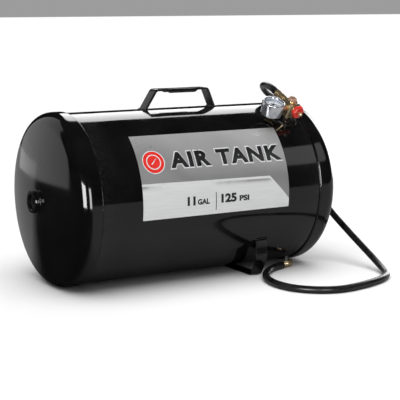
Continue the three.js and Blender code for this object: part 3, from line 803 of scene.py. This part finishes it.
def refined(points, spacing):
    """The same line with points no further apart than spacing."""
    result = [points[0]]
    for a, b in zip(points, points[1:]):
        count = max(1, math.ceil((b - a).length / spacing))
        result += [a.lerp(b, (k + 1) / count) for k in range(count)]
    return result


def strap_section(width, thickness, roll, lip, lip_width):
    """The section of a flat strap, across and out: rolled top edges, and lips under its two edges."""
    half, out = width / 2, thickness / 2
    small = min(0.6, thickness / 3)
    right = [
        *arc((half - roll, out - roll), roll, 90, 0, 6),
        *arc((half - small, -out - lip + small), small, 0, -90, 3),
        *arc((half - lip_width + small, -out - lip + small), small, -90, -180, 3),
        (half - lip_width, -out),
    ]
    return right + [(-x, y) for x, y in reversed(right)]


def strap(points, section_at):
    """Sweeps a strap's section along a line in its own plane, with its width along z."""
    rings = []
    for i, point in enumerate(points):
        ahead = points[min(i + 1, len(points) - 1)]
        behind = points[max(i - 1, 0)]
        along = (ahead - behind).normalized()
        normal = Vector((-along.y, along.x))
        rings.append([
            (point.x + normal.x * out, point.y + normal.y * out, across) for across, out in section_at(point)
        ])
    return loft(rings)


def eased(value):
    value = min(1.0, max(0.0, value))
    return value * value * (3 - 2 * value)


def make_handle():
    middle = 352
    corners = [(-67, 317.3), (-44.5, middle), (67, middle), (81.5, 317.3)]
    line = refined(bent_line(corners, 7), 3)

    def section(point):
        grip = eased((point.x + 24) / 8) * eased((46 - point.x) / 8)
        return strap_section(STRAP_WIDTH, 4, 0.9 + 1.9 * grip, 0.02 + 3.98 * grip, 2.4)

    upright = Matrix(((1, 0, 0, 0), (0, 0, -1, 0), (0, 1, 0, 0), (0, 0, 0, 1)))
    piece("pressed_handle", [strap(line, section)], upright, PAINT, replaces=["carry_handle"], sharp=50)
    for name, x in (("left", -67), ("right", 81.5)):
        outline = [Vector((x - 3, -13)), Vector((x + 3, -13)), Vector((x + 3, 13)), Vector((x - 3, 13))]
        outline = refined(outline + outline[:1], 0.5)[:-1]
        path = [(p.x, p.y, AXIS_HEIGHT + math.sqrt(SHELL_RADIUS ** 2 - p.y ** 2) + 0.4) for p in outline]
        piece(f"handle_{name}_weld", [tube(path, 1.5, 10, closed=True, ripple=0.12)], WORLD, PAINT, sharp=80)


def make_foot():
    corners = [(-130.6, 70), (-130.6, 36), (-112, 1.3), (112, 1.3), (130.6, 36), (130.6, 70)]
    line = refined(bent_line(corners, 9), 6)
    section = strap_section(STRAP_WIDTH, 2.6, 0.8, 0.01, 2.4)
    across = Matrix(((0, 0, 1, 114.5), (1, 0, 0, 0), (0, 1, 0, 0), (0, 0, 0, 1)))
    piece(
        "bent_foot", [strap(line, lambda point: section)], across, PAINT,
        replaces=["foot_bracket"], sharp=50,
    )
    for name, side in (("front", -1), ("back", 1)):
        outline = [Vector((102, 131.9)), Vector((127, 131.9)), Vector((127, 129.3)), Vector((102, 129.3))]
        outline = refined(outline + outline[:1], 0.5)[:-1]
        path = [
            (p.x, side * p.y, AXIS_HEIGHT - math.sqrt(SHELL_RADIUS ** 2 - p.y ** 2) - 0.6) for p in outline
        ]
        piece(f"foot_{name}_weld", [tube(path, 1.7, 10, closed=True, ripple=0.12)], WORLD, PAINT, sharp=80)


# ---- manifold ----


def make_manifold():
    bung = [(7, -6), (13.6, -6), (13.6, 0.3), (20, 0.3), (20, 2.4), (19.4, 3.1), (18.4, 3.6), (12.6, 3.6),
            (12, 4.1), (12, 5.8), (11.6, 6.2), (7, 6.2)]
    piece("welded_outlet_boss", [lathe(bung, 96)], OUT, PAINT, replaces=["outlet_bung"])
    weld = []
    for k in range(240):
        angle = 2 * math.pi * k / 240
        x, y = 20.6 * math.cos(angle), 20.6 * math.sin(angle)
        weld.append((x, y, math.sqrt(SHELL_RADIUS ** 2 - y ** 2) - SHELL_RADIUS + 0.5))
    bead = tube(weld, 1.5, 10, closed=True, ripple=0.1, pitch=2.2)
    piece("outlet_boss_weld", [bead], ON_SHELL, PAINT, sharp=80)
    half, inner = 9, 6.6
    outline = [(half, -inner), (half, inner), (inner, half), (-inner, half),
               (-half, inner), (-half, -inner), (-inner, -half), (inner, -half)]
    bar = [
        polygon(outline, 7, 42.5),
        lathe([(5.5, 41.8), (9, 41.8), (9, 45), (8.5, 45.5), (5.5, 45.5)], 72),
        rod(6.6, -6, 8),
    ]
    piece("brass_bar", bar, OUT, BRASS, replaces=["manifold_body"], bevel=0.45)
    seat = 45.8
    plug = loft([
        circle(0, seat - 1.5, 72), hexagon_ring(3, seat - 1.5), hexagon_ring(3, seat + 1.9),
        circle(4, seat + 2.2, 72),
        circle(7.2, seat + 2.2, 72), circle(8, seat + 1.7, 72), circle(8.2, seat + 1.2, 72),
        circle(8.2, seat, 72), circle(5.2, seat, 72), circle(5.2, seat - 4, 72), circle(0, seat - 4, 72),
    ], capped=False)
    piece("bar_top_plug", [plug], OUT, COPPERY, replaces=["manifold_top_plug"])


def threaded(radius, low, high, pitch=1.0, depth=0.45):
    """A short run of thread, drawn as rings."""
    count = max(1, round((high - low) / pitch))
    step = (high - low) / count
    profile = [(0, low), (radius - depth, low)]
    for i in range(count):
        profile += [(radius, low + step * (i + 0.45)), (radius - depth, low + step * (i + 0.95))]
    profile += [(radius - depth, high), (0, high)]
    return lathe(profile, 48)


def make_shut_off_valve():
    bonnet = [
        nut(14, 9.4, 13.2, 2.8, chamfer_bottom=True),
        lathe([(2.8, 13), (5.2, 13), (5.2, 14.5), (4.7, 15), (2.8, 15)], 56),
        lathe([(2.8, 6.7), (4.9, 6.7), (4.9, 9.6), (2.8, 9.6)], 48),
    ]
    piece("valve_packing_nut", bonnet, FRONT_PORT, BRASS, replaces=["valve_bonnet"])
    lobes, turns = 6, 144
    low, high = 17.8, 26.2

    def lobed(radius, z):
        ring = []
        for k in range(turns):
            angle = 2 * math.pi * k / turns
            reach = radius - 1.5 * (0.5 - 0.5 * math.cos(lobes * angle))
            ring.append((reach * math.cos(angle), reach * math.sin(angle), z))
        return ring

    knob = loft([
        circle(2.8, low, turns), circle(4.6, low, turns), lobed(11.6, low), lobed(12.5, low + 0.4),
        lobed(13, low + 1.4), lobed(13, high - 1.6), lobed(12.5, high - 0.5), lobed(11.6, high),
        lobed(10.4, high - 0.1), lobed(9.8, high - 0.6), lobed(9.5, high - 1.5),
        circle(5.3, high - 1.6, turns),
        circle(5, high - 1.2, turns), circle(4.9, high - 0.2, turns), circle(4.6, high, turns),
        circle(2.8, high, turns),
    ], closed=True)
    ribs = []
    for k in range(lobes):
        angle = 2 * math.pi * (k + 0.5) / lobes
        rib = polygon([(4.8, -0.7), (9.2, -0.7), (9.2, 0.7), (4.8, 0.7)], high - 2, high - 0.5)
        ribs.append(moved(rib, Matrix.Rotation(angle, 4, "Z")))
    piece("lobed_knob", [knob, *ribs], FRONT_PORT, RED, body="knob", replaces=["valve_knob"], sharp=50)
    nut_shapes = [nut(8, 26.5, 30.4, 2.8), lathe([(2.8, 30.2), (3.3, 30.2), (3.1, 31), (2.8, 31)], 48)]
    piece("knob_lock_nut", nut_shapes, FRONT_PORT, BRASS, body="knob", replaces=["knob_nut"])
    stem = [
        lathe([(0, 3.6), (2.5, 3.6), (2.5, 24), (2.2, 24.4), (2.2, 26), (0, 26)], 40),
        threaded(2.5, 26, 33.2, 0.8, 0.3),
        lathe([(0, 33), (2.3, 33), (1.7, 34), (0, 34)], 40),
    ]
    piece("threaded_stem", stem, FRONT_PORT, BRASS, body="knob", replaces=["valve_stem"])


def on_dial(words, x, y, height, z):
    """Small figures on the gauge's dial, with their feet towards the manifold."""
    mesh = lettering(words, 0.015, 3, centred=True)
    shape = (
        [Vector((x - v.co.y * height, y + v.co.x * height, z)) for v in mesh.vertices],
        [tuple(face.vertices) for face in mesh.polygons],
    )
    bpy.data.meshes.remove(mesh)
    return shape


def make_gauge():
    case = [
        (0, -7), (18.8, -7), (19.9, -6.6), (20.3, -5.5), (20.3, 11), (20.3, 16.5), (19.3, 16.5), (19.3, -5.1),
        (18.4, -6), (0, -6),
    ]
    piece("gauge_drum", [lathe(case, 96)], GAUGE, CHROME, replaces=["gauge_case"])
    bezel = [
        (20.6, 12), (21.4, 12), (22, 12.4), (22, 17.6), (21.8, 18.5), (21.2, 19.2), (20.3, 19.7),
        (19.2, 19.8), (18.2, 19.7), (17.7, 19.3), (17.6, 18.9), (20.6, 18.6),
    ]
    piece("rolled_bezel", [lathe(bezel, 120)], GAUGE, CHROME, replaces=["gauge_bezel"])
    dial = [(1.3, 11), (18.9, 11), (18.9, 11.7), (18.8, 11.8), (1.3, 11.8)]
    piece("dial_plate", [lathe(dial, 96)], GAUGE, WHITE, replaces=["gauge_dial"])
    marks = []
    for step in range(41):
        angle = DIAL_START - DIAL_SWEEP * step / 40
        major = step % 4 == 0
        inner, width = (14.6, 0.26) if major else (16.0, 0.13)
        tick = polygon([(inner, -width), (17.4, -width), (17.4, width), (inner, width)], 11.78, 11.86)
        marks.append(moved(tick, turned("Z", angle)))
    for value in range(0, 201, 40):
        angle = radians(DIAL_START - DIAL_SWEEP * value / 200)
        x, y = 11.6 * math.cos(angle), 11.6 * math.sin(angle)
        marks.append(on_dial(str(value), x, y, 3.4, 11.88))
    marks.append(on_dial("psi", 7.4, 0, 3.0, 11.88))
    marks.append(lathe([(17.35, 11.78), (17.7, 11.78), (17.7, 11.86), (17.35, 11.86)], 120))
    piece("dial_marks", marks, GAUGE, INK)
    half_hand = [(-5.4, -1.1), (-4.4, -1.5), (-0.5, -0.8), (14, -0.22)]
    hand = polygon(half_hand + [(x, -y) for x, y in reversed(half_hand)], 13.4, 13.9)
    pointer = [
        moved(hand, turned("Z", DIAL_START)),
        lathe([(0, 13.1), (2, 13.1), (2.1, 14.2), (1.6, 14.8), (0, 14.9)], 40),
        rod(0.8, 1.8, 13.4, 24),
        rod(1.2, 3.8, 5.8, 24),
    ]
    piece("gauge_hand", pointer, GAUGE, INK, body="pointer", replaces=["gauge_pointer"])


def knurled(radius, low, high, ridges=36, depth=0.25):
    """A sleeve with fine straight ridges round it."""
    turns = ridges * 4

    def ridged(size, z):
        ring = []
        for k in range(turns):
            angle = 2 * math.pi * k / turns
            reach = size - depth * (0.5 - 0.5 * math.cos(ridges * angle))
            ring.append((reach * math.cos(angle), reach * math.sin(angle), z))
        return ring

    return ridged(radius, low), ridged(radius, high)


def make_relief_valve():
    body = [
        nut(12.7, 9.3, 14.6, 3.9, chamfer_bottom=True),
        lathe([(3.9, 3), (4.9, 3), (4.9, 9.6), (3.9, 9.6)], 48),
        lathe([(3.9, 14.4), (4.9, 14.4), (5.4, 14.8), (5.4, 15.9), (4.9, 16.2), (4.9, 16.8), (5.4, 17.1),
               (5.4, 18.3), (4.8, 18.9), (1.75, 18.9), (1.75, 18), (3.9, 18)], 72),
    ]
    piece("relief_body", body, RELIEF_PORT, BRASS, replaces=["relief_valve_body"])
    pivot = RING["pivot"]
    hang = radians(RING["hang"])
    eye_axis = Matrix.Rotation(hang, 4, "Z") @ turned("X", 90)
    stem = [
        lathe([(0, 11.3), (3.5, 11.3), (3.5, 12.6), (1.3, 12.6), (1.3, pivot - 2.6), (0, pivot - 2.6)], 40),
        moved(torus(2.15, 0.8, 48, 12), shifted(0, 0, pivot) @ eye_axis),
    ]
    piece("relief_stem_eye", stem, RELIEF_PORT, BRASS, body="relief_stem", replaces=["relief_valve_stem"])
    centre = shifted(RING["radius"] * math.cos(hang), RING["radius"] * math.sin(hang), pivot)
    ring = moved(torus(RING["radius"], RING["wire"], 96, 14), centre)
    piece("split_pull_ring", [ring], RELIEF_PORT, CHROME, body="relief_ring", replaces=["relief_pull_ring"])


def make_fill_valve():
    body = [
        nut(9, 9.3, 12.9, 2.2, chamfer_bottom=True),
        lathe([(2.2, 3.3), (4, 3.3), (4, 9.6), (2.2, 9.6)], 48),
        lathe([(2.2, 12.8), (3.3, 12.8), (3.3, 16), (2.2, 16)], 48),
        lathe([(2.2, 15.8), (3.8, 15.8), (3.4, 16.4), (3.8, 17), (3.4, 17.6), (3.8, 18.2), (3.4, 18.8),
               (3.8, 19.4), (3.4, 20), (3.8, 20.6), (3.4, 21.2), (3.8, 21.8), (3.4, 22.6), (3.4, 24),
               (2.2, 24)], 48),
    ]
    piece("fill_valve_stub", body, FILL_PORT, BRASS, replaces=["fill_valve_body"])
    lower, upper = knurled(4.9, 16.4, 25.2)
    turns = len(lower)
    cap = loft([
        circle(4.1, 16, turns), circle(4.5, 16, turns), lower, upper, circle(4.5, 25.9, turns),
        circle(3.6, 26.5, turns), circle(0, 26.5, turns), circle(0, 25.5, turns), circle(4.1, 25.5, turns),
    ], closed=True)
    piece("knurled_cap", [cap], FILL_PORT, CAP, body="fill_cap", replaces=["fill_valve_cap"])


def make_hose_barb():
    barb = [nut(14, 9.3, 14.4, 1.9, chamfer_bottom=True), rod(4.9, 4, 9.6), rod(3.2, 14, 40)]
    piece("hose_tail", barb, BACK_PORT, BRASS, replaces=["hose_barb"])


KEPT_NODES = {
    "gauge_lens": LENS, "gauge_sector": BRASS, "bourdon_tube": BRASS, "relief_valve_spring": SPRING,
    "fill_valve_pin": BRASS, "valve_seat_washer": SEAL, "gauge_socket": BRASS,
}


def finish_kept_nodes():
    for name, recipe in KEPT_NODES.items():
        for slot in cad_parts[name].material_slots:
            slot.link = "OBJECT"
            slot.material = recipe.material


# ---- studio ----


def area_light(name, at, towards, size, power):
    data = bpy.data.lights.new(name, "AREA")
    data.shape = "RECTANGLE"
    data.size, data.size_y = size
    data.energy = power
    light = bpy.data.objects.new(name, data)
    light.location = at
    light.rotation_euler = (Vector(towards) - Vector(at)).to_track_quat("-Z", "Y").to_euler()
    light.visible_diffuse = False
    bpy.context.scene.collection.objects.link(light)


def mirror_only(card):
    """A card that shows only in reflections, as flags and table tops beside a set do."""
    card.visible_camera = False
    card.visible_diffuse = False
    card.visible_transmission = False
    card.visible_shadow = False


def plain_card(name, color):
    made = Recipe(name, None, {"Base Color": grey(color), "Specular IOR Level": 0.0})
    made.to_shader(Roughness=made.scaled(made.noise(3, 1), 0.8, 0.9))
    return made.material


TABLE_GREY = 0.34
TABLE_EDGE = {"x": -0.245, "slope": 0.455}


def table_card():
    """The table that the paint mirrors: mid grey where a pool of light is painted on it, and painted shade,
    dark, left of an edge that slants away behind.
    """
    made = Recipe("mirrored_table", None, {"Specular IOR Level": 0.0})
    split = made.add("ShaderNodeSeparateXYZ", {"Vector": made.object_coords})
    aside = made.math("MULTIPLY", made.math("MAXIMUM", split.outputs["Y"], 0.0), TABLE_EDGE["slope"])
    inside = made.math("ADD", made.math("ADD", split.outputs["X"], -TABLE_EDGE["x"]), aside)
    # painted light and shade: grey where the table is painted as lit, near black where it is painted as unlit
    lit = made.scaled(inside, 0, 1, -0.015, 0.05)
    made.to_shader(Base_Color=made.blend(lit, grey(0.012), grey(TABLE_GREY)), Roughness=0.9)
    return made.material


# Area lights that show only in reflections: place, target, size and power, in metres and watts.
WINDOWS = {
    "back_window": ((1.22, 1.6, 1.60), (1.22, 0, 1.60), (1.45, 1.38), 26),
    "left_window": ((-1.9, -1.5, 0.42), (-0.3, 0, 0.16), (0.9, 1.15), 60),
    "front_window": ((-0.5, -2.2, 0.42), (-0.3, 0, 0.16), (0.5, 1.05), 20),
    "left_wall": ((-1.3, 1.96, 1.6), (-0.3, 0, 1.6), (1.78, 3.2), 12),
    "right_window": ((2.1, 0.9, 0.5), (0.3, 0, 0.2), (0.9, 1.8), 26),
    "right_fill": ((1.23, -1.22, 1.23), (0.19, -0.1, 0.28), (0.7, 0.65), 1.5),
}


def make_studio():
    bpy.ops.mesh.primitive_plane_add(size=60, location=(0, 0, 0))
    floor = bpy.context.object
    floor.name = "studio_floor"
    floor.data.materials.append(studio_floor().material)
    bpy.ops.mesh.primitive_plane_add(size=12, location=(0, 0, 0.0004))
    table = bpy.context.object
    table.name = "mirrored_table"
    table.data.materials.append(table_card())
    mirror_only(table)
    bpy.ops.mesh.primitive_uv_sphere_add(segments=32, ring_count=16, radius=5.5, location=(0, 0, 0))
    room = bpy.context.object
    room.name = "dark_room"
    room.data.materials.append(plain_card("dark_room", 0.004))
    mirror_only(room)
    data = bpy.data.lights.new("even_daylight", "SUN")
    data.energy = 3.0
    data.angle = radians(70)
    sun = bpy.data.objects.new("even_daylight", data)
    sun.rotation_euler = (radians(12), radians(-8), 0)
    sun.visible_glossy = False
    bpy.context.scene.collection.objects.link(sun)
    for name, (at, towards, size, power) in WINDOWS.items():
        area_light(name, at, towards, size, power)
    world = bpy.data.worlds.new("studio")
    world.use_nodes = True
    bpy.context.scene.world = world
    world.node_tree.nodes["Background"].inputs["Color"].default_value = grey(0.95)
    world.node_tree.nodes["Background"].inputs["Strength"].default_value = 0.35
    bpy.context.scene.view_settings.view_transform = "Standard"


make_tank()
make_label()
make_handle()
make_foot()
make_manifold()
make_shut_off_valve()
make_gauge()
make_relief_valve()
make_fill_valve()
make_hose_barb()
finish_kept_nodes()
make_studio()
